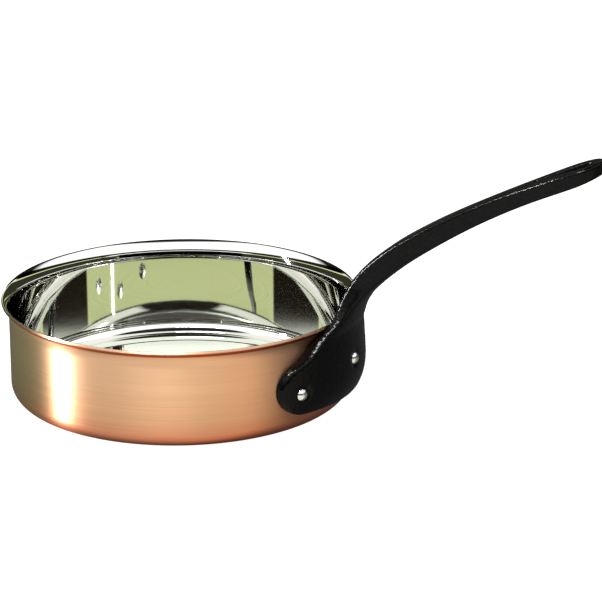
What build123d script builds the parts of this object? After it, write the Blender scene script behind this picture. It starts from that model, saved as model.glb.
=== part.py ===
"""A straight-walled copper pan with a bonded steel lining and a riveted cast-iron handle, in millimetres.

The pan stands on the plane z = 0 with its axis on Z, and the handle leaves it along +X.
"""
from build123d import *
import os
from math import atan2, cos, radians, sin, sqrt

# Pan body: a deep-drawn copper sheet, with a thin steel sheet bonded to its inside
inner_radius = 100.0
copper_thickness = 1.8
lining_thickness = 0.2
pan_height = 60.5
corner_radius = 9.2
lip_radius = 12.2
lip_angle = 50.0

# Handle casting: the flange on the wall, the stalk past the lip, the bar and the eye that it hangs by
flange_bottom = 11.0
flange_thickness = 11.0
flange_half_width = 55.0
flange_crown_radius = 80.0
lobe_radius = 16.5
lip_gap = 0.4
handle_reach = 158.0
handle_rise = 110.0
neck_width = 22.0
neck_height = 86.0
bar_width = 18.0
bar_crown_radius = 26.0
top_crown_radius = 70.0
eye_crown_radius = 180.0
eye_ring_width = 29.0
eye_width = 15.0
eye_length = 38.0
eye_end_wall = 6.5
eye_point_radius = 1.5

# Cast edges, rounded
top_edge_radius = 1.6
under_edge_radius = 2.0
eye_edge_radius = 1.4

# Rivets: one in each lobe of the flange, and a longer one in the middle
rivet_diameter = 5.5
outer_head_diameter = 7.4
outer_head_height = 2.4
inner_head_diameter = 12.0
inner_head_height = 1.9
recess_diameter = 11.4
recess_depth = 0.7
side_rivet_angle = 24.5
side_rivet_height = 25.3
centre_rivet_height = 34.8

overrun = 4.0    # how far a cutting or trimming shape runs past what it cuts

# The outer side of the flange: shares of the pan's height, and of the flange's thickness
flange_skin_shares = [
    (0.04, 0.13), (0.16, 0.52), (0.30, 0.88), (0.44, 1.0), (0.58, 0.98), (0.72, 0.93), (0.84, 0.90),
]

# The under side of the bar and its top: reach from the wall and rise over the rim, as shares of the whole
under_line_shares = [
    (0.071, -0.032), (0.085, 0.023), (0.106, 0.082), (0.133, 0.140), (0.172, 0.200), (0.230, 0.277),
    (0.304, 0.362), (0.399, 0.457), (0.494, 0.546), (0.589, 0.627), (0.684, 0.702), (0.778, 0.772),
    (0.873, 0.838), (0.960, 0.900), (1.060, 0.975),
]
top_line_shares = [
    (0.010, -0.040), (0.016, 0.020), (0.027, 0.083), (0.043, 0.148), (0.068, 0.216), (0.106, 0.288),
    (0.160, 0.363), (0.238, 0.452), (0.333, 0.542), (0.442, 0.634), (0.557, 0.722), (0.671, 0.804),
    (0.785, 0.882), (0.899, 0.955), (1.060, 1.018),
]

# The edge of the flange above each lobe: shares of the way out from the neck, and of the way up to it
lobe_top_angle = 65.0
shoulder_shares = [(0.726, 0.139), (0.507, 0.300), (0.305, 0.437), (0.160, 0.585), (0.064, 0.759)]

# The bar's width beyond the neck, as a share of its middle's, at shares of the reach
bar_width_shares = [(0.430, 1.0), (0.640, 1.03), (0.800, 1.42)]

outer_radius = inner_radius + lining_thickness + copper_thickness
wall_thickness = lining_thickness + copper_thickness
lip_start = pan_height - (lip_radius + wall_thickness) * sin(radians(lip_angle))
tip_x = outer_radius + handle_reach


def sheet(outer_depth, inner_depth):
    """A round sheet between two depths under the pan's outside, from the middle of the base to the rim."""
    turn = radians(lip_angle)

    def skin(depth):
        corner = corner_radius - depth
        lip = lip_radius + depth
        wall = outer_radius - depth
        floor_edge = outer_radius - corner_radius
        halfway = corner * sin(radians(45))
        lip_centre = outer_radius + lip_radius
        half = (lip_centre - lip * cos(turn / 2), lip_start + lip * sin(turn / 2))
        end = (lip_centre - lip * cos(turn), lip_start + lip * sin(turn))
        return [
            Line((0, depth), (floor_edge, depth)),
            ThreePointArc(
                (floor_edge, depth), (floor_edge + halfway, corner_radius - halfway), (wall, corner_radius)
            ),
            Line((wall, corner_radius), (wall, lip_start)),
            ThreePointArc((wall, lip_start), half, end),
        ]

    outside, inside = skin(outer_depth), skin(inner_depth)
    edges = outside + inside + [Line(outside[-1] @ 1, inside[-1] @ 1), Line(outside[0] @ 0, inside[0] @ 0)]
    return revolve(Plane.XZ * make_face(edges), Axis.Z)


def lip_clearance():
    """What the handle keeps out of: the pan with its lip, and the space over the rim that a lid needs."""
    turn = radians(lip_angle)
    lip_centre = outer_radius + lip_radius
    near = lip_radius - lip_gap
    start = (lip_centre - near, lip_start)
    half = (lip_centre - near * cos(turn / 2), lip_start + near * sin(turn / 2))
    end = (lip_centre - near * cos(turn), lip_start + near * sin(turn))
    edges = [
        Polyline((0, -overrun), (outer_radius, -overrun), (outer_radius, lip_start), start),
        ThreePointArc(start, half, end),
        Polyline(end, (end[0], neck_height), (0, neck_height), (0, -overrun)),
    ]
    return revolve(Plane.XZ * make_face(edges), Axis.Z)


def ribbon(points, half_widths, crowns, depth, side, level_count=0):
    """A thick ribbon along a line in the XZ plane, crowned across, whose under side (1) or top (-1) is exact.

    The first sections lie level, as many as level_count says, and the others are square to the line.
    """
    line = Spline(*[Vector(x, 0, z) for x, z in points])
    sections = []
    for index, ((x, z), half, crown) in enumerate(zip(points, half_widths, crowns)):
        middle = Vector(x, 0, z)
        along = line.tangent_at(line.param_at_point(middle))
        out = Vector(1, 0, 0) if index < level_count else Vector(along.Z, 0, -along.X) * side
        sag = crown - sqrt(crown ** 2 - half ** 2)
        left, right = middle + Vector(0, half, 0) - out * sag, middle - Vector(0, half, 0) - out * sag
        back_left, back_right = left - out * (depth - sag), right - out * (depth - sag)
        sections.append(Wire([
            ThreePointArc(left, middle, right),
            Line(right, back_right),
            Line(back_right, back_left),
            Line(back_left, left),
        ]))
    return Solid.make_loft(sections)


def on_bar(shares):
    return [(outer_radius + reach * handle_reach, pan_height + rise * handle_rise) for reach, rise in shares]


def place_at_height(points, height):
    """Where a rising line of (x, z) points passes a height."""
    for (near_x, near_z), (far_x, far_z) in zip(points, points[1:]):
        if near_z <= height <= far_z:
            return near_x + (far_x - near_x) * (height - near_z) / (far_z - near_z)


under_points = [
    (outer_radius + depth * flange_thickness, height * pan_height) for height, depth in flange_skin_shares
]
under_points += on_bar(under_line_shares)
top_points = on_bar(top_line_shares)


def handle_blank():
    """The casting from the side, with its crowned faces, before it is trimmed to width."""
    level_count, bar_count = len(flange_skin_shares), len(under_line_shares)
    wide, narrow = flange_half_width + overrun, eye_ring_width / 2 + overrun
    flange_fades = [1.0] * level_count + [max(0.0, 1.0 - step / 5) for step in range(bar_count)]
    eye_fades = [0.0] * (level_count + bar_count - 5) + [0.1, 0.35, 0.7, 1.0, 1.0]
    halves = [narrow + (wide - narrow) * fade for fade in flange_fades]
    to_flange, to_eye = flange_crown_radius - bar_crown_radius, eye_crown_radius - bar_crown_radius
    crowns = [
        bar_crown_radius + to_flange * near + to_eye * far for near, far in zip(flange_fades, eye_fades)
    ]
    under = ribbon(under_points, halves, crowns, wide, 1, level_count)
    flatness = [max(near, far) for near, far in zip(flange_fades[level_count:], eye_fades[level_count:])]
    top_crowns = [top_crown_radius + (eye_crown_radius - top_crown_radius) * share for share in flatness]
    top = ribbon(top_points, [wide / 2] * len(top_points), top_crowns, wide, -1)
    below_top_line = Pos(0, 0, top_points[1][1] / 2) * Box(4 * tip_x, 4 * tip_x, top_points[1][1])
    return under & (below_top_line + top)


def width_trim():
    """The casting's outline from the front up to the neck, and from above beyond it."""
    lobe_y, lobe_z = flange_half_width - lobe_radius, flange_bottom + lobe_radius
    turn = radians(lobe_top_angle)
    lobe_top = (lobe_y + lobe_radius * cos(turn), lobe_z + lobe_radius * sin(turn))
    half_neck = neck_width / 2
    out, up = lobe_top[0] - half_neck, neck_height - lobe_top[1]
    shoulder = [
        (half_neck + share_y * out, lobe_top[1] + share_z * up) for share_y, share_z in shoulder_shares
    ]
    front = [
        Line((0, flange_bottom), (lobe_y, flange_bottom)),
        ThreePointArc((lobe_y, flange_bottom), (flange_half_width, lobe_z), lobe_top),
        Spline(lobe_top, *shoulder, (half_neck, neck_height), tangents=((-sin(turn), cos(turn)), (0, 1))),
        Line((half_neck, neck_height), (0, neck_height)),
        Line((0, neck_height), (0, flange_bottom)),
    ]
    lower = extrude(Plane.YZ * make_face(front), tip_x)
    ring = eye_ring_width / 2
    diagonal = ring * sin(radians(45))
    bar = [(outer_radius + reach * handle_reach, share * bar_width / 2) for reach, share in bar_width_shares]
    root = (outer_radius, half_neck)
    neck_end = (place_at_height(under_points, neck_height), half_neck)
    above = [
        Line(root, neck_end),
        Spline(neck_end, *bar, (tip_x - ring, ring), tangents=((1, 0), (1, 0))),
        ThreePointArc((tip_x - ring, ring), (tip_x - ring + diagonal, diagonal), (tip_x, 0)),
        Line((tip_x, 0), (outer_radius, 0)),
        Line((outer_radius, 0), root),
    ]
    upper = Pos(0, 0, neck_height) * extrude(make_face(above), handle_rise)
    half = lower + upper
    return half + mirror(half, Plane.XZ)


def eye():
    """The teardrop through the tip, square to the bar there, with its point towards the pan."""
    (near_x, near_z), (far_x, far_z) = top_points[-3:-1]
    slope = atan2(far_z - near_z, far_x - near_x)
    middle_x = tip_x - (eye_end_wall + eye_width / 2) * cos(slope)
    middle_z = far_z + (middle_x - far_x) * sin(slope) / cos(slope)
    along, square = (cos(slope), 0, sin(slope)), (-sin(slope), 0, cos(slope))
    across = Plane(origin=(middle_x, 0, middle_z), x_dir=along, z_dir=square)
    radius = eye_width / 2
    length = eye_length - radius - eye_point_radius
    turn = atan2(sqrt(length ** 2 - (radius - eye_point_radius) ** 2), radius - eye_point_radius)
    big = (-radius * cos(turn), radius * sin(turn))
    small = (-length - eye_point_radius * cos(turn), eye_point_radius * sin(turn))
    outline = [
        ThreePointArc(big, (radius, 0), (big[0], -big[1])),
        Line((big[0], -big[1]), (small[0], -small[1])),
        ThreePointArc((small[0], -small[1]), (-length - eye_point_radius, 0), small),
        Line(small, big),
    ]
    return extrude(across * make_face(outline), eye_ring_width, both=True)


def rounded_casting(casting):
    """The trimmed casting with its outer and upper edges rounded, as they come from the mould."""
    outer_skin = max(casting.faces(), key=lambda face: face.area)
    outer_edges = outer_skin.edges().filter_by(lambda edge: edge.center().Z > flange_bottom)
    casting = casting.fillet(under_edge_radius, outer_edges)
    level_faces = [face for face in casting.faces() if face.normal_at().Z > abs(face.normal_at().X)]
    upper_skin = max(level_faces, key=lambda face: face.area)
    edges_past_lip = upper_skin.edges().sort_by(Axis.Z)[3:]
    return casting.fillet(top_edge_radius, edges_past_lip)


def rivet_axis(angle, height):
    """A plane on the pan's axis whose Z runs out through the wall at this angle and height."""
    turn = radians(angle)
    return Plane(origin=(0, 0, height), x_dir=(0, 0, 1), z_dir=(cos(turn), sin(turn), 0))


def skin_distance(casting, place):
    """How far from the pan's axis a rivet's axis leaves the casting."""
    hits = casting.find_intersection_points(Axis(place.origin, place.z_dir))
    return max((point - place.origin).dot(place.z_dir) for point, normal in hits)


def dome(base, diameter, height):
    """A low round head on the level z = base, whose crown is a part of a sphere."""
    half = diameter / 2
    crown = (half ** 2 + height ** 2) / (2 * height)
    ball = Pos(0, 0, base + height - crown) * Sphere(crown)
    return ball & Pos(0, 0, base + height / 2) * Cylinder(diameter, height)


def rivet(place, floor):
    """A rivet of one piece: its inner head fits the round lining, and its outer one lies in the recess."""
    outer = dome(floor, outer_head_diameter, outer_head_height)
    sag = inner_radius - sqrt(inner_radius ** 2 - (inner_head_diameter / 2) ** 2)
    brim = inner_radius - sag
    inner = Pos(0, 0, brim) * Rot(180, 0, 0) * dome(0, inner_head_diameter, inner_head_height - sag)
    seat = Pos(0, 0, inner_radius - sag / 2) * Cylinder(inner_head_diameter / 2, sag)
    formed_head = place * (inner + seat) & Cylinder(inner_radius, 4 * pan_height)
    shank = Pos(0, 0, (floor + brim) / 2) * Cylinder(rivet_diameter / 2, floor - brim)
    return formed_head + place * (shank + outer)


places = [
    rivet_axis(side_rivet_angle, side_rivet_height),
    rivet_axis(-side_rivet_angle, side_rivet_height),
    rivet_axis(0, centre_rivet_height),
]
copper_shell = sheet(0, copper_thickness)
steel_lining = sheet(copper_thickness, wall_thickness)
handle = rounded_casting((handle_blank() - lip_clearance()) & width_trim())
pierced = handle - eye()
eye_rims = new_edges(handle, combined=pierced).filter_by(GeomType.LINE, reverse=True)
handle = pierced.fillet(eye_edge_radius, eye_rims)
rivets = []
for place in places:
    floor = skin_distance(handle, place) - recess_depth
    recess = place * Pos(0, 0, floor + overrun) * Cylinder(recess_diameter / 2, 2 * overrun)
    hole = place * Pos(0, 0, floor) * Cylinder(rivet_diameter / 2, 2 * (floor - inner_radius + overrun))
    handle = handle - recess - hole
    copper_shell -= hole
    steel_lining -= hole
    rivets.append(rivet(place, floor))

os.makedirs("parts", exist_ok=True)
export_step(copper_shell, "parts/copper_shell.step")
export_step(steel_lining, "parts/steel_lining.step")
export_step(handle, "parts/handle.step")
export_step(Compound(rivets[:2]), "parts/side_rivets.step")
export_step(rivets[2], "parts/centre_rivet.step")
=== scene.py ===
# %% [markdown]
# # A lined copper pan with a cast-iron handle
# The pan is a straight-walled one of brushed copper, lined with polished steel whose floor is turned. A
# black sand-cast handle is held on it by three bright rivets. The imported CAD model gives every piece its
# exact place. This script sets a finished piece in the place of each CAD piece, gives it its metal, and
# lights the pan for a plain studio picture. Lengths are in metres, and the pan stands on z = 0 with its
# handle towards +X.

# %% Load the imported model
from math import cos, pi, radians, sin, sqrt, tan

import bmesh
import bpy
from mathutils import Matrix, Vector


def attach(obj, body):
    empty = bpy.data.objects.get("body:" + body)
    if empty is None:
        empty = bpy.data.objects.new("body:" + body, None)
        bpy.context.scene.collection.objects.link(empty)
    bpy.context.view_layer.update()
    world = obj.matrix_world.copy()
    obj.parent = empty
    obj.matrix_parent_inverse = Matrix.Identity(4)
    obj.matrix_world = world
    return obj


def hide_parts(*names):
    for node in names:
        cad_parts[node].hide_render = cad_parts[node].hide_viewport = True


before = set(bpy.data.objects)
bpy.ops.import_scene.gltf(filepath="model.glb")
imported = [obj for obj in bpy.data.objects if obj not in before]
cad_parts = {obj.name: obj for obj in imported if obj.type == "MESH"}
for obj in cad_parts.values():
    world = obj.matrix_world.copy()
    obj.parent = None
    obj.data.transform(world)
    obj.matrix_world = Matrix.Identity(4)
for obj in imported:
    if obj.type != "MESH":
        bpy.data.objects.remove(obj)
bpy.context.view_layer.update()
print("nodes:", sorted(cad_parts))

# %% [markdown]
# ## Shared sizes
# The wall is a sheet of copper with a thin sheet of steel bonded inside it. These sizes are the CAD model's
# own, so each finished piece lies where its CAD piece does, apart from rims and edges that are softened by
# less than a millimetre. Sizes that only one step needs stand in that step.

# %% Shared sizes
MM = 0.001
outer_radius = 102 * MM
copper_thickness = 1.8 * MM
lining_thickness = 0.2 * MM
wall_thickness = copper_thickness + lining_thickness
handle_turn = radians(26)
print("wall", round(wall_thickness / MM, 2), "mm thick, outside radius", round(outer_radius / MM, 2), "mm")


# %% [markdown]
# ## Node trees
# Materials, the world and geometry trees are all made of nodes. They can be wired by hand in the editor,
# but a script that makes them is easier to read and to change. One helper makes a node, sets its options,
# and fills or links its inputs, so each tree below reads in the order in which its values flow.

# %% Helpers for node trees
def node(tree, kind, inputs=(), **options):
    """A node with its options set. An input is a value, or another node's output, which is then linked to it.

    A Mix node has one A and one B for each type of value, so those for colours are picked by their type.
    """
    made = tree.nodes.new(kind)
    for option, value in options.items():
        setattr(made, option, value)
    for name, value in dict(inputs).items():
        socket = made.inputs[name]
        if kind == "ShaderNodeMix" and made.data_type == "RGBA" and name in ("A", "B"):
            socket = [one for one in made.inputs if one.name == name and one.type == "RGBA"][0]
        if isinstance(value, bpy.types.NodeSocket):
            tree.links.new(value, socket)
        else:
            socket.default_value = value
    return made


def mix_colours(tree, blend, first, second, share=1.0):
    made = node(tree, "ShaderNodeMix", {"Factor": share, "A": first, "B": second},
                data_type="RGBA", blend_type=blend)
    return [one for one in made.outputs if one.type == "RGBA"][0]


def ramp(tree, factor, stops):
    """Colours along a factor. Each stop is a place and a colour, or a place and a grey."""
    made = node(tree, "ShaderNodeValToRGB", {"Fac": factor})
    elements = made.color_ramp.elements
    while len(elements) < len(stops):
        elements.new(0.5)
    for element, (place, colour) in zip(elements, stops):
        element.position = place
        element.color = (*colour, 1) if isinstance(colour, tuple) else (colour, colour, colour, 1)
    return made.outputs["Color"]


def calculate(tree, operation, first, second):
    return node(tree, "ShaderNodeMath", {0: first, 1: second}, operation=operation).outputs[0]


def rescale(tree, value, low, high, from_low=0.0, from_high=1.0):
    return node(tree, "ShaderNodeMapRange", {
        "Value": value, "From Min": from_low, "From Max": from_high, "To Min": low, "To Max": high,
    }).outputs["Result"]


def distance_from_axis(tree, parts):
    """How far a place is from the pan's axis, worked out from its separated x and y."""
    flat = node(tree, "ShaderNodeCombineXYZ", {"X": parts.outputs["X"], "Y": parts.outputs["Y"]}).outputs[0]
    return node(tree, "ShaderNodeVectorMath", {0: flat}, operation="LENGTH").outputs["Value"]


# %% [markdown]
# ## The camera
# The pan is looked at from a little above its rim, with the handle turned 26 degrees towards the camera. A
# long lens from nearly two metres away keeps the near and the far side of the rim alike, as in a catalogue.
# A Track To constraint would aim at the pan's middle, but the long handle needs the lens to look a little
# past it. So the camera's matrix is built here from its elevation, and from a small yaw, pitch and roll.

# %% Camera
def add_object(name, data):
    made = bpy.data.objects.new(name, data)
    bpy.context.scene.collection.objects.link(made)
    return made


def camera_matrix(elevation, yaw, pitch, roll, distance):
    """The camera's place for a handle that points to +X. Yaw and pitch turn the lens to the right and up."""
    back = Vector((0, -cos(elevation), sin(elevation)))
    forward = -back
    right = forward.cross(Vector((0, 0, 1))).normalized()
    up = right.cross(forward)
    forward = (forward + tan(yaw) * right + tan(pitch) * up).normalized()
    right = forward.cross(Vector((0, 0, 1))).normalized()
    up = right.cross(forward)
    across = cos(roll) * right + sin(roll) * up
    upward = cos(roll) * up - sin(roll) * right
    place = Matrix((across, upward, -forward)).transposed().to_4x4()
    place.translation = back * distance
    return place


def add_camera(place, lens):
    data = bpy.data.cameras.new("camera")
    data.sensor_width = 36
    data.lens = lens
    data.clip_end = 20
    camera = add_object("camera", data)
    camera.matrix_world = Matrix.Rotation(handle_turn, 4, "Z") @ place
    bpy.context.scene.camera = camera
    print("camera at", [round(value, 3) for value in camera.matrix_world.translation], "lens", lens)


bpy.context.scene.view_settings.view_transform = "Standard"
add_camera(camera_matrix(elevation=radians(20.436), yaw=radians(2.366), pitch=radians(1.661),
                         roll=radians(-0.214), distance=1.7552), lens=174.3)


# %% [markdown]
# ## What the metal mirrors
# Polished metal shows little but its surroundings, so a photographer builds them on purpose. Cards and
# windows could be modelled as planes, but soft edges and exact places are easier to paint by direction, in
# the world. `around` runs once round the pan: 0.5 is on the camera's side, 0.25 on its left, 0.75 on its
# right, and 0 and 1 meet behind the pan. `rise` runs from straight down at 0, over the horizon at 0.5, to
# straight up at 1. Four layers are added up: a table below the horizon, a pale room above it, a narrow band
# of white windows in front and behind, and a white tent over all. Each is a row of colours round the pan
# times a share by rise. A thin bright strip on the left of the room stands beside the tall lamp.

# %% The four layers
PALE = (0.118, 0.124, 0.071)
DARK = (0.0022, 0.0016, 0.0010)
GREY = (0.1, 0.1, 0.12)
TABLE = [
    (0.00, (0.012, 0.014, 0.012)), (0.10, (0.020, 0.029, 0.022)), (0.250, (0.029, 0.048, 0.038)),
    (0.260, GREY), (0.272, GREY), (0.282, (0.090, 0.094, 0.088)), (0.40, (0.110, 0.119, 0.110)),
    (0.55, (0.118, 0.122, 0.108)), (0.63, (0.118, 0.108, 0.086)), (0.71, (0.03, 0.03, 0.03)),
    (1.00, (0.005, 0.005, 0.005)),
]
TABLE_RISE = [(0.00, 1.0), (0.47, 1.0), (0.50, 0.0)]
ROOM = [
    (0.00, PALE), (0.258, PALE), (0.260, 0.2), (0.264, 0.2), (0.266, PALE), (0.375, PALE), (0.38, DARK),
    (0.62, DARK), (0.625, PALE), (1.00, PALE),
]
ROOM_RISE = [(0.49, 0.0), (0.50, 0.04), (0.648, 0.04), (0.6505, 1.0), (0.6655, 1.0), (0.667, 0.0)]
WINDOWS = [
    (0.00, 0.15), (0.10, 0.15), (0.11, 0.0), (0.35, 0.0), (0.37, 0.21), (0.63, 0.21), (0.65, 0.0),
    (0.89, 0.0), (0.90, 0.15), (1.00, 0.15),
]
WINDOWS_RISE = [(0.6668, 0.0), (0.6674, 1.0), (0.680, 1.0), (0.683, 0.0)]
TENT = [(0.00, DARK), (0.15, DARK), (0.18, 0.17), (0.82, 0.17), (0.85, DARK), (1.00, DARK)]
TENT_RISE = [(0.667, 0.0), (0.671, 0.01), (0.730, 0.01), (0.737, 1.0), (0.955, 1.0), (0.968, 0.02)]
layers = [(TABLE, TABLE_RISE), (ROOM, ROOM_RISE), (WINDOWS, WINDOWS_RISE), (TENT, TENT_RISE)]
print(len(layers), "layers with", sum(len(colours) + len(shares) for colours, shares in layers), "stops")


# %% [markdown]
# ## The world
# The layers are turned with the camera, so that they keep their places in the picture. The camera itself
# sees plain white behind the pan, which is what Is Camera Ray is for: the white backdrop then needs no
# light of its own, and every other ray meets the painted studio.

# %% World
def painted_studio(tree):
    direction = node(tree, "ShaderNodeTexCoord").outputs["Generated"]
    facing = node(tree, "ShaderNodeVectorRotate", {"Vector": direction, "Angle": -handle_turn},
                  rotation_type="Z_AXIS").outputs[0]
    parts = node(tree, "ShaderNodeSeparateXYZ", {"Vector": facing})
    toward = calculate(tree, "MULTIPLY", parts.outputs["Y"], -1)
    around = rescale(tree, calculate(tree, "ARCTAN2", parts.outputs["X"], toward), 0, 1, -pi, pi)
    rise = rescale(tree, parts.outputs["Z"], 0, 1, -1, 1)
    total = None
    for colours, shares in layers:
        layer = mix_colours(tree, "MULTIPLY", ramp(tree, around, colours), ramp(tree, rise, shares))
        total = layer if total is None else mix_colours(tree, "ADD", total, layer)
    return total


def add_world(strength):
    world = bpy.data.worlds.new("studio")
    bpy.context.scene.world = world
    world.use_nodes = True
    tree = world.node_tree
    tree.nodes.clear()
    studio = node(tree, "ShaderNodeBackground", {"Color": painted_studio(tree), "Strength": strength})
    white = node(tree, "ShaderNodeBackground", {"Color": (1, 1, 1, 1), "Strength": 1.0})
    seen = node(tree, "ShaderNodeLightPath").outputs["Is Camera Ray"]
    both = node(tree, "ShaderNodeMixShader", {0: seen, 1: studio.outputs[0], 2: white.outputs[0]})
    node(tree, "ShaderNodeOutputWorld", {"Surface": both.outputs[0]})
    print("world of", len(tree.nodes), "nodes")


add_world(strength=8.0)


# %% [markdown]
# ## The floor
# In a catalogue such a pan stands on white paper that merges with the backdrop. A plane does that here: it
# glows white to the camera, and to all other light it is a dull grey with a faint glow. Metal doesn't
# mirror it, because the table is painted in the world. It lies a hair under the base, since two faces in
# one plane render as noise.

# %% Floor
def new_material(name):
    material = bpy.data.materials.new(name)
    material.use_nodes = True
    tree = material.node_tree
    return material, tree, tree.nodes["Principled BSDF"]


def add_floor(half, gap):
    mesh = bpy.data.meshes.new("studio_floor")
    corners = [(-half, -half, 0), (half, -half, 0), (half, half, 0), (-half, half, 0)]
    mesh.from_pydata(corners, [], [(0, 1, 2, 3)])
    floor = add_object("studio_floor", mesh)
    floor.location.z = -gap
    material, tree, shader = new_material("studio_floor")
    shader.inputs["Base Color"].default_value = (0.2, 0.2, 0.2, 1)
    shader.inputs["Roughness"].default_value = 0.8
    shader.inputs["Specular IOR Level"].default_value = 0
    shader.inputs["Emission Color"].default_value = (1, 1, 1, 1)
    seen = node(tree, "ShaderNodeLightPath").outputs["Is Camera Ray"]
    tree.links.new(rescale(tree, seen, 0.3, 1.0), shader.inputs["Emission Strength"])
    mesh.materials.append(material)
    floor.visible_glossy = False
    floor.visible_shadow = False
    print("floor", 2 * half, "m wide,", round(gap / MM, 3), "mm under the base")


add_floor(half=6, gap=0.05 * MM)


# %% [markdown]
# ## The lamps
# Two narrow softboxes draw the bright lines. The tall one on the left makes the upright streak on the
# copper, the pale line along the edge of the bar, and the sparkle on the flange. The flat one above lights
# the casting's upper faces. They could be painted in the world as well, but Blender aims its light rays at
# a lamp, so a lamp that is small and bright leaves less noise.

# %% Lamps
def softbox(name, azimuth, elevation, distance, width, height, power):
    """A lamp that faces the pan. Azimuth 0 is on the camera's side, and -90 on its left."""
    turn, rise = radians(azimuth), radians(elevation)
    flat = Vector((sin(turn) * cos(rise), -cos(turn) * cos(rise), sin(rise))) * distance
    data = bpy.data.lights.new(name, "AREA")
    data.shape = "RECTANGLE"
    data.size, data.size_y = width, height
    data.energy = power
    lamp = add_object(name, data)
    lamp.location = Matrix.Rotation(handle_turn, 3, "Z") @ flat
    lamp.rotation_euler = (-lamp.location).to_track_quat("-Z", "Y").to_euler()
    print(name, "at", [round(value, 2) for value in lamp.location], "with", power, "W")


softbox("lamp_above", azimuth=-20, elevation=62, distance=1.6, width=0.7, height=0.08, power=26)
softbox("lamp_left", azimuth=-82, elevation=15, distance=1.5, width=0.05, height=0.85, power=58)


# %% [markdown]
# ## Lines of a brush that runs round
# The copper was brushed and the steel polished while the pan turned, so their fine lines follow circles
# round its axis. An image of lines would need a flattened pan and would show a seam. A noise does without:
# it is stretched along the circles, and its fourth number is the distance from the axis, so that the lines
# go on over the floor. Such a surface also spreads its highlights across its lines. The tangent runs round
# the axis for that, and a quarter turn sets the spread across it.

# %% Helpers for brushed metal
def object_place(tree):
    return node(tree, "ShaderNodeTexCoord").outputs["Object"]


def circle_lines(tree, place, fineness, drift, detail=4.0):
    """Fine lines that run round the axis, on a wall by height and on a floor by radius."""
    parts = node(tree, "ShaderNodeSeparateXYZ", {"Vector": place})
    radius = distance_from_axis(tree, parts)
    stretched = node(tree, "ShaderNodeMapping", {"Vector": place, "Scale": (drift, drift, fineness)})
    return node(tree, "ShaderNodeTexNoise", {
        "Vector": stretched.outputs[0], "W": calculate(tree, "MULTIPLY", radius, fineness),
        "Scale": 1, "Detail": detail, "Roughness": 0.6}, noise_dimensions="4D").outputs["Fac"]


def along_circles(tree, shader, spread):
    tangent = node(tree, "ShaderNodeTangent", direction_type="RADIAL", axis="Z").outputs[0]
    tree.links.new(tangent, shader.inputs["Tangent"])
    shader.inputs["Anisotropic"].default_value = spread
    shader.inputs["Anisotropic Rotation"].default_value = 0.25


def add_bump(tree, shader, height, strength, distance):
    bump = node(tree, "ShaderNodeBump", {"Height": height, "Strength": strength, "Distance": distance})
    tree.links.new(bump.outputs[0], shader.inputs["Normal"])


# %% [markdown]
# ## Brushed copper
# Brushed copper is pink gold. Its corner at the base is darker and redder by painted shade, which stands in
# for the dark reflection of the table close to the pan. A thin dark red line under the rim is a painted
# shadow of the lip. This painted shade only depends on the height, so a ramp by height gives it. Large soft
# clouds keep the wall from looking printed.

# %% Brushed copper
# Painted shade by height: darker and redder towards the base corner, and a thin dark red painted shadow line
# under the rim.
painted_shade_top = 60 * MM
PAINTED_SHADE = [
    (0.00, (0.10, 0.05, 0.04)), (0.03, (0.34, 0.16, 0.12)), (0.08, (0.66, 0.34, 0.29)),
    (0.15, (0.82, 0.60, 0.54)), (0.28, (0.90, 0.82, 0.78)), (0.60, 1.0), (0.938, 1.0),
    (0.952, (0.45, 0.14, 0.08)), (0.980, (0.45, 0.14, 0.08)), (0.990, 1.0),
]


def copper_material():
    material, tree, shader = new_material("brushed_copper")
    place = object_place(tree)
    lines = circle_lines(tree, place, fineness=2400, drift=14)
    clouds = node(tree, "ShaderNodeTexNoise", {"Vector": place, "Scale": 22, "Detail": 3}).outputs["Fac"]
    tone = mix_colours(tree, "MIX", (0.90, 0.48, 0.27, 1), (0.97, 0.56, 0.35, 1), clouds)
    streaked = mix_colours(tree, "MULTIPLY", tone, ramp(tree, lines, [(0.25, 0.86), (0.6, 1.0)]))
    height = node(tree, "ShaderNodeSeparateXYZ", {"Vector": place}).outputs["Z"]
    # The painted shade by height is multiplied into the copper's colour.
    painted_shade = ramp(tree, rescale(tree, height, 0, 1, 0, painted_shade_top), PAINTED_SHADE)
    tree.links.new(mix_colours(tree, "MULTIPLY", streaked, painted_shade), shader.inputs["Base Color"])
    tree.links.new(rescale(tree, lines, 0.24, 0.38), shader.inputs["Roughness"])
    shader.inputs["Metallic"].default_value = 1
    along_circles(tree, shader, spread=0.9)
    add_bump(tree, shader, lines, strength=0.2, distance=0.1 * MM)
    print(material.name, "of", len(tree.nodes), "nodes")
    return material


copper = copper_material()


# %% [markdown]
# ## Polished and turned steel
# The wall inside is polished almost to a mirror. The floor was turned on a lathe with a fine feed, which
# leaves rings that glint a little. One material could mix both by height, but two are plainer, and each
# face of the lining takes one of them.

# %% Polished and turned steel
def wall_material():
    material, tree, shader = new_material("polished_steel")
    lines = circle_lines(tree, object_place(tree), fineness=1800, drift=10, detail=2.0)
    shader.inputs["Base Color"].default_value = (0.80, 0.80, 0.76, 1)
    shader.inputs["Metallic"].default_value = 1
    tree.links.new(rescale(tree, lines, 0.015, 0.04), shader.inputs["Roughness"])
    print(material.name, "of", len(tree.nodes), "nodes")
    return material


def turned_material():
    material, tree, shader = new_material("turned_steel")
    lines = circle_lines(tree, object_place(tree), fineness=900, drift=3, detail=3.0)
    tone = mix_colours(tree, "MIX", (0.60, 0.68, 0.55, 1), (0.92, 0.93, 0.88, 1), lines)
    tree.links.new(tone, shader.inputs["Base Color"])
    shader.inputs["Metallic"].default_value = 1
    tree.links.new(rescale(tree, lines, 0.01, 0.028), shader.inputs["Roughness"])
    along_circles(tree, shader, spread=0.9)
    print(material.name, "of", len(tree.nodes), "nodes")
    return material


polished = wall_material()
turned = turned_material()


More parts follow.
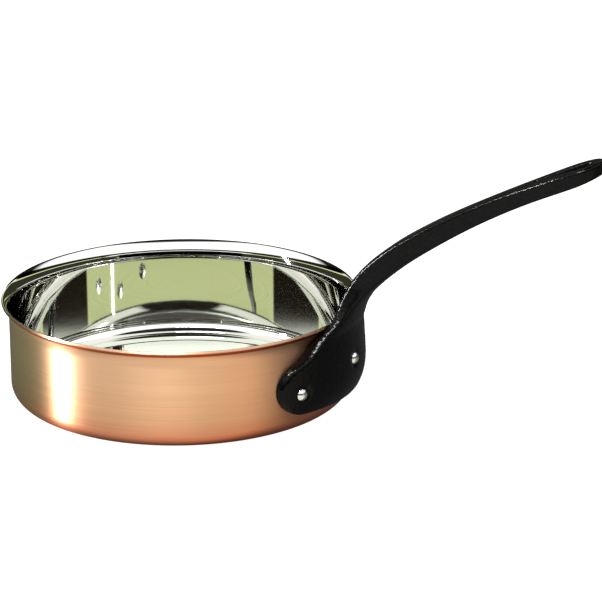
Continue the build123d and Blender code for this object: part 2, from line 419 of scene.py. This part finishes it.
# %% [markdown]
# ## Cast iron
# Iron that was cast in sand is nearly black here, with a dull, pitted skin. The large pebbles are made in
# the mesh further down, because they show at its outline. The finer grains and pits would need faces of a
# tenth of a millimetre there, so they are bump. The specular level is low, because a black face otherwise
# mirrors the pale table and turns grey.

# %% Cast iron
def iron_material():
    material, tree, shader = new_material("cast_iron")
    place = object_place(tree)
    grains = node(tree, "ShaderNodeTexNoise", {"Vector": place, "Scale": 900, "Detail": 3}).outputs["Fac"]
    pits = node(tree, "ShaderNodeTexVoronoi", {"Vector": place, "Scale": 520},
                feature="SMOOTH_F1").outputs["Distance"]
    tone = ramp(tree, grains, [(0.35, (0.0006, 0.0007, 0.0007)), (0.7, (0.003, 0.0032, 0.003))])
    tree.links.new(tone, shader.inputs["Base Color"])
    shader.inputs["Specular IOR Level"].default_value = 0.12
    tree.links.new(rescale(tree, grains, 0.12, 0.22), shader.inputs["Roughness"])
    add_bump(tree, shader, calculate(tree, "ADD", grains, pits), strength=0.25, distance=0.3 * MM)
    print(material.name, "of", len(tree.nodes), "nodes")
    return material


iron = iron_material()


# %% [markdown]
# ## Bright rivets
# The rivets are of bright steel, a little worn by use. One noise varies their tone, their roughness and
# their relief together, so that the same spots stand out in all three.

# %% Bright rivets
def rivet_material():
    material, tree, shader = new_material("bright_rivet")
    place = object_place(tree)
    wear = node(tree, "ShaderNodeTexNoise", {"Vector": place, "Scale": 420, "Detail": 3}).outputs["Fac"]
    tone = mix_colours(tree, "MIX", (0.80, 0.80, 0.77, 1), (0.93, 0.93, 0.91, 1), wear)
    tree.links.new(tone, shader.inputs["Base Color"])
    shader.inputs["Metallic"].default_value = 1
    tree.links.new(rescale(tree, wear, 0.12, 0.32), shader.inputs["Roughness"])
    add_bump(tree, shader, wear, strength=0.25, distance=0.2 * MM)
    print(material.name, "of", len(tree.nodes), "nodes")
    return material


bright = rivet_material()


# %% [markdown]
# ## The line of a sheet
# The pan was pressed from one disc of copper and steel. Its wall rises from a tight corner and ends in a
# short lip that flares outwards. Any layer in the sheet has the same line at its own depth, so one function
# draws them all: out under the base, round the corner, up the wall and out round the lip. Inside, the rim
# is burnished over a small roll before its cut edge. Short braces beside each bend keep smooth shading from
# bulging the flat and straight parts.

# %% Lines at a depth
corner_radius = 9.2 * MM
lip_radius = 12.2 * MM
lip_angle = radians(50)
lip_start = 49.62 * MM
roll_radius = 1.8 * MM
roll_start = radians(46.5)
brace = 0.3 * MM
corner_steps, lip_steps, roll_steps = 16, 28, 8


def arc(centre, radius, start, end, steps):
    turns = [start + (end - start) * step / steps for step in range(steps + 1)]
    return [(centre[0] + radius * cos(turn), centre[1] + radius * sin(turn)) for turn in turns]


def skin(depth):
    """The line at a depth under the pan's outside, as (radius, height) points from the axis to the rim."""
    corner = (outer_radius - corner_radius, corner_radius)
    lip = (outer_radius + lip_radius, lip_start)
    bend = arc(corner, corner_radius - depth, -pi / 2, 0, corner_steps)
    line = [(radius, depth) for radius in (0, corner[0] / 2, corner[0] - brace)] + bend
    line += [(bend[-1][0], bend[-1][1] + brace), (bend[-1][0], lip_start - brace)]
    if depth < copper_thickness:
        return line + arc(lip, lip_radius + depth, pi, pi - lip_angle, lip_steps)
    line += arc(lip, lip_radius + depth, pi, pi - roll_start, lip_steps)
    over = roll_radius + depth - wall_thickness
    centre = (line[-1][0] + over * cos(roll_start), line[-1][1] - over * sin(roll_start))
    return line + arc(centre, over, pi - roll_start, pi / 2, roll_steps)[1:]


for label, depth in (("outside", 0), ("bond", copper_thickness), ("inside", wall_thickness)):
    radius, height = skin(depth)[-1]
    print(label, "ends", round(radius / MM, 2), "mm from the axis,", round(height / MM, 2), "mm up")


# %% [markdown]
# ## The section of a sheet
# Two lines make a closed section: up along the outer one, over the cut edge, and back down the inner one. A
# sheared edge that was dressed with a file isn't sharp. Its two corners are bent here, which also makes the
# thin bright line that a real rim shows. Bevel could round them on the mesh, but here the section needs
# only a few more points. The copper's outer corner is rounded most. Where the two metals meet, both corners
# are left almost sharp.

# %% Sections
def rounded(before, corner, after, radius, steps=5):
    """A corner cut back by a radius on both sides, and bent between."""
    before, corner, after = Vector(before), Vector(corner), Vector(after)
    start = corner + (before - corner).normalized() * radius
    end = corner + (after - corner).normalized() * radius
    shares = [step / steps for step in range(steps + 1)]
    return [tuple((1 - t) ** 2 * start + 2 * t * (1 - t) * corner + t ** 2 * end) for t in shares]


def section(outer_depth, inner_depth, outer_edge, inner_edge):
    outer, inner = skin(outer_depth), skin(inner_depth)
    rim = rounded(outer[-2], outer[-1], inner[-1], outer_edge)
    rim += rounded(outer[-1], inner[-1], inner[-2], inner_edge)
    return outer[:-1] + rim + inner[-2::-1]


pan_section = section(0, copper_thickness, outer_edge=0.35 * MM, inner_edge=0.05 * MM)
lining_section = section(copper_thickness, wall_thickness, outer_edge=0.04 * MM, inner_edge=0.08 * MM)
print("sections of", len(pan_section), "points in copper and", len(lining_section), "in steel")


# %% [markdown]
# ## The lathe
# A section that turns round the axis gives a closed body. Spin or a Screw modifier would do it too, and
# leave doubled points at the axis and at the seam. This function closes both as it goes: the last slice
# joins the first one, and one point stands at each end of the axis. The piece's size is printed beside that
# of its CAD piece.

# %% Lathe
def lathe(name, outline, material, steps):
    """A closed mesh turned round the axis from (radius, height) points that start and end on it."""
    rings = [point for point in outline if point[0] > 0]
    count = len(rings)
    verts = []
    for step in range(steps):
        turn = 2 * pi * step / steps
        verts += [(radius * cos(turn), radius * sin(turn), height) for radius, height in rings]
    first, last = len(verts), len(verts) + 1
    verts += [(0, 0, outline[0][1]), (0, 0, outline[-1][1])]
    faces = []
    for step in range(steps):
        here, there = step * count, (step + 1) % steps * count
        faces += [(here + i, there + i, there + i + 1, here + i + 1) for i in range(count - 1)]
        faces += [(first, there, here), (last, here + count - 1, there + count - 1)]
    mesh = bpy.data.meshes.new(name)
    mesh.from_pydata(verts, [], faces)
    mesh.shade_smooth()
    mesh.materials.append(material)
    print(name, "turned from", len(outline), "points,", len(faces), "faces")
    return add_object(name, mesh)


def spans(mesh):
    """A mesh's size along x, y and z, in millimetres."""
    return [round((max(along) - min(along)) / MM, 2) for along in zip(*(vert.co for vert in mesh.vertices))]


def print_beside_cad(piece, source):
    print(piece.name, spans(piece.data), "mm, and", source, spans(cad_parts[source].data), "mm in CAD")


# %% [markdown]
# ## Copper outside
# The copper is the thick part of the sheet, and carries the heat round the pan. It is turned from its
# section in one degree steps, which keeps the wide rim round even in a close view.

# %% Copper outside
pan_steps = 360
pan = lathe("copper_pan", pan_section, copper, pan_steps)
print_beside_cad(pan, "copper_shell")
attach(pan, "root")
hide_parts("copper_shell")

# %% [markdown]
# ## Steel inside
# The steel lies on the copper, out to the cut edge. Its floor is turned up to the foot of the corner, so
# the faces there take the second material. Only the upper face of the sheet is turned, which is why the
# height counts too.

# %% Steel inside
turned_to = 92 * MM
above_bond = copper_thickness + 0.1 * MM
lining = lathe("steel_inside", lining_section, polished, pan_steps)
lining.data.materials.append(turned)
turned_faces = [face for face in lining.data.polygons
                if face.center.xy.length < turned_to and face.center.z > above_bond]
for face in turned_faces:
    face.material_index = 1
print(len(turned_faces), "turned faces")
print_beside_cad(lining, "steel_lining")
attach(lining, "root")
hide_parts("steel_lining")


# %% [markdown]
# ## Geometry Nodes from a script
# Two steps below change a mesh by a rule, which is what Geometry Nodes are for. A tree gets named inputs
# for its sizes, as a tool with dials. Its modifier is then set by each socket's identifier, and the result
# is kept as a plain mesh, because a piece has to be one before it is put in its frame.

# %% Helpers for geometry trees
def node_group(name, numbers):
    """A geometry node tree with a geometry, these numbers and a material as its inputs."""
    tree = bpy.data.node_groups.new(name, "GeometryNodeTree")
    face = tree.interface
    face.new_socket("Geometry", in_out="INPUT", socket_type="NodeSocketGeometry")
    for label, value in numbers:
        kind = "NodeSocketInt" if isinstance(value, int) else "NodeSocketFloat"
        face.new_socket(label, in_out="INPUT", socket_type=kind).default_value = value
    face.new_socket("Material", in_out="INPUT", socket_type="NodeSocketMaterial")
    face.new_socket("Geometry", in_out="OUTPUT", socket_type="NodeSocketGeometry")
    return tree, node(tree, "NodeGroupInput").outputs


def end_group(tree, geometry, material):
    """The last nodes of a tree: copies are made real, and the whole takes the material."""
    joined = node(tree, "GeometryNodeRealizeInstances", {"Geometry": geometry}).outputs[0]
    coated = node(tree, "GeometryNodeSetMaterial", {"Geometry": joined, "Material": material}).outputs[0]
    node(tree, "NodeGroupOutput", {"Geometry": coated})
    return tree


def run_group(piece, tree, values):
    """The tree is run on the piece with these values, and the piece keeps the result as a plain mesh."""
    modifier = piece.modifiers.new(tree.name, "NODES")
    modifier.node_group = tree
    for item in tree.interface.items_tree:
        if item.name in values and item.in_out == "INPUT":
            modifier[item.identifier] = values[item.name]
    depsgraph = bpy.context.evaluated_depsgraph_get()
    finished = bpy.data.meshes.new_from_object(piece.evaluated_get(depsgraph))
    piece.modifiers.clear()
    piece.data = finished
    print(piece.name, len(finished.vertices), "vertices", len(finished.polygons), "faces")


# %% [markdown]
# ## The rule of the sand casting
# Sand leaves every edge of a casting soft and its skin pebbled. A sculptor could do that by hand, but it
# follows a rule. Blurring the places of the points softens all the edges a little. A second blur rounds the
# flange's upper ridge much more, so it is weighted by where a point lies. A noise then presses the skin
# inwards, never outwards, so that the piece stays inside its CAD shape. The pebbles are deep on the flange
# and fade up the neck, because the bar is smoother.

# %% Sand casting tree
casting_sizes = [
    ("Softness", 3), ("Ridge Softness", 12),
    ("Ridge Out From", outer_radius + 2 * MM), ("Ridge Out To", outer_radius + 5 * MM),
    ("Ridge Foot From", 34 * MM), ("Ridge Foot To", 40 * MM),
    ("Ridge Top From", 78 * MM), ("Ridge Top To", 90 * MM),
    ("Pebble Size", 2.2 * MM), ("Pebble Depth", 0.4 * MM), ("Pebbles On Bar", 0.15),
    ("Pebbles Fade From", 70 * MM), ("Pebbles Fade To", 95 * MM),
]


def on_ridge(tree, given, parts):
    """A share that is 1 on the flange's upper ridge and fades towards the wall, the lobes and the neck."""
    radius, height = distance_from_axis(tree, parts), parts.outputs["Z"]
    out = rescale(tree, radius, 0, 1, given["Ridge Out From"], given["Ridge Out To"])
    above = rescale(tree, height, 0, 1, given["Ridge Foot From"], given["Ridge Foot To"])
    below = rescale(tree, height, 1, 0, given["Ridge Top From"], given["Ridge Top To"])
    return calculate(tree, "MULTIPLY", calculate(tree, "MULTIPLY", out, above), below)


def casting_tree():
    tree, given = node_group("sand_casting", casting_sizes)
    normal = node(tree, "GeometryNodeInputNormal").outputs[0]
    place = node(tree, "GeometryNodeInputPosition").outputs[0]
    parts = node(tree, "ShaderNodeSeparateXYZ", {"Vector": place})
    softened = node(tree, "GeometryNodeBlurAttribute", {
        "Value": place, "Iterations": given["Softness"]}, data_type="FLOAT_VECTOR").outputs["Value"]
    soft = node(tree, "GeometryNodeSetPosition", {"Geometry": given["Geometry"], "Position": softened})
    rolled = node(tree, "GeometryNodeBlurAttribute", {
        "Value": place, "Iterations": given["Ridge Softness"], "Weight": on_ridge(tree, given, parts)},
        data_type="FLOAT_VECTOR").outputs["Value"]
    soft_ridge = node(tree, "GeometryNodeSetPosition", {"Geometry": soft.outputs[0], "Position": rolled})
    size = calculate(tree, "DIVIDE", 1.0, given["Pebble Size"])
    pebbles = node(tree, "ShaderNodeTexNoise", {"Vector": place, "Scale": size, "Detail": 2}).outputs["Fac"]
    least = calculate(tree, "MULTIPLY", given["Pebbles On Bar"], -1)
    share = rescale(tree, parts.outputs["Z"], -1, least, given["Pebbles Fade From"], given["Pebbles Fade To"])
    depth = calculate(tree, "MULTIPLY", calculate(tree, "MULTIPLY", pebbles, given["Pebble Depth"]), share)
    inwards = node(tree, "ShaderNodeVectorMath", {0: normal, "Scale": depth}, operation="SCALE").outputs[0]
    pressed = node(tree, "GeometryNodeSetPosition", {"Geometry": soft_ridge.outputs[0], "Offset": inwards})
    smooth = node(tree, "GeometryNodeSetShadeSmooth", {"Geometry": pressed.outputs[0]})
    return end_group(tree, smooth.outputs[0], given["Material"])


# %% [markdown]
# ## The handle
# The handle is one casting: a flange that follows the wall, a neck that clears the lip, a bar, and an eye
# to hang it by. The CAD mesh has that shape already, but its triangles are long and uneven, and a blur
# needs even ones. A copy of it is merged into one skin and remeshed in small cubes first, and then the tree
# does its work.

# %% Iron handle
even_size = 0.65 * MM


def merged_copy(name, source):
    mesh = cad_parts[source].data.copy()
    work = bmesh.new()
    work.from_mesh(mesh)
    bmesh.ops.remove_doubles(work, verts=work.verts, dist=0.001 * MM)
    bmesh.ops.recalc_face_normals(work, faces=work.faces)
    work.to_mesh(mesh)
    work.free()
    mesh.materials.clear()
    print(source, "merged into", len(mesh.vertices), "vertices")
    return add_object(name, mesh)


casting = merged_copy("iron_handle", "handle")
remesh = casting.modifiers.new("even_skin", "REMESH")
remesh.mode = "VOXEL"
remesh.voxel_size = even_size
run_group(casting, casting_tree(), {"Material": iron})
print_beside_cad(casting, "handle")
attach(casting, "root")
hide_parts("handle")


# %% [markdown]
# ## One rivet
# A rivet is a pin with a low, wide head inside the pan, and its other end was hammered into a small dome in
# the casting's recess. It has a round section too, so the same lathe turns it, this time along the rivet's
# own axis. How far its two ends reach is measured on the CAD mesh, so that it closes on the same faces.

# %% Rivet outline
outer_head_radius = 3.7 * MM
outer_head_height = 2.4 * MM
inner_head_radius = 6.0 * MM
inner_head_height = 1.72 * MM
shank_radius = 2.7 * MM
near_rivet = 8 * MM


def ends(name, turn, height):
    """How far from the pan's axis a rivet's ends lie, as (nearest, farthest), measured on the CAD mesh."""
    out = Vector((cos(turn), sin(turn), 0))
    along = [vert.co.dot(out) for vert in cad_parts[name].data.vertices
             if (vert.co - out * vert.co.dot(out) - Vector((0, 0, height))).length < near_rivet]
    return min(along), max(along)


def head(base, half, height, away, steps=12):
    """A domed head with a rounded brim, as (radius, place) points from the brim to its crown."""
    crown = (half ** 2 + height ** 2) / (2 * height)
    top = base + away * height
    points = []
    for step in range(steps + 1):
        radius = half * cos(pi / 2 * step / steps)
        points.append((radius, top - away * (crown - sqrt(crown ** 2 - radius ** 2))))
    points[-1] = (0.0, top)
    return points


def rivet_outline(nearest, farthest):
    inner_brim, outer_brim = nearest + inner_head_height, farthest - outer_head_height
    outer = head(outer_brim, outer_head_radius, outer_head_height, 1)
    inner = head(inner_brim, inner_head_radius, inner_head_height, -1)
    return inner[::-1] + [(shank_radius, inner_brim), (shank_radius, outer_brim)] + outer


# %% [markdown]
# ## The rivets round the wall
# The side rivets stand at the same angle to the left and to the right of the handle, and the centre one on
# its middle line. A geometry tree lays the turned rivet down and sets copies of it at plus and at minus its
# angle. Copies placed by hand would do for three rivets, but the tree follows when the angle or the height
# changes.

# %% Rivets
rivet_steps = 48
side_rivet_angle = radians(24.5)
side_rivet_height = 25.3 * MM
centre_rivet_height = 34.8 * MM


def rivet_tree():
    tree, given = node_group("rivets_round_wall", [
        ("Count", 2), ("Angle", side_rivet_angle), ("Height", side_rivet_height)])
    height = node(tree, "ShaderNodeCombineXYZ", {"Z": given["Height"]}).outputs[0]
    points = node(tree, "GeometryNodePoints", {"Count": given["Count"], "Position": height}).outputs[0]
    index = node(tree, "GeometryNodeInputIndex").outputs[0]
    sign = calculate(tree, "SUBTRACT", 1, calculate(tree, "MULTIPLY", index, 2))
    turn = calculate(tree, "MULTIPLY", given["Angle"], sign)
    facing = node(tree, "ShaderNodeCombineXYZ", {"Y": pi / 2, "Z": turn}).outputs[0]
    placed = node(tree, "GeometryNodeInstanceOnPoints", {
        "Points": points, "Instance": given["Geometry"], "Rotation": facing}).outputs[0]
    return end_group(tree, placed, given["Material"])


rivets = rivet_tree()
for name, source, count, angle, height in (
    ("bright_side_rivets", "side_rivets", 2, side_rivet_angle, side_rivet_height),
    ("bright_centre_rivet", "centre_rivet", 1, 0.0, centre_rivet_height),
):
    nearest, farthest = ends(source, angle, height)
    print(source, "reaches from", round(nearest / MM, 2), "to", round(farthest / MM, 2), "mm from the axis")
    piece = lathe(name, rivet_outline(nearest, farthest), bright, rivet_steps)
    run_group(piece, rivets, {"Count": count, "Angle": angle, "Height": height, "Material": bright})
    print_beside_cad(piece, source)
    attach(piece, "root")
    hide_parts(source)
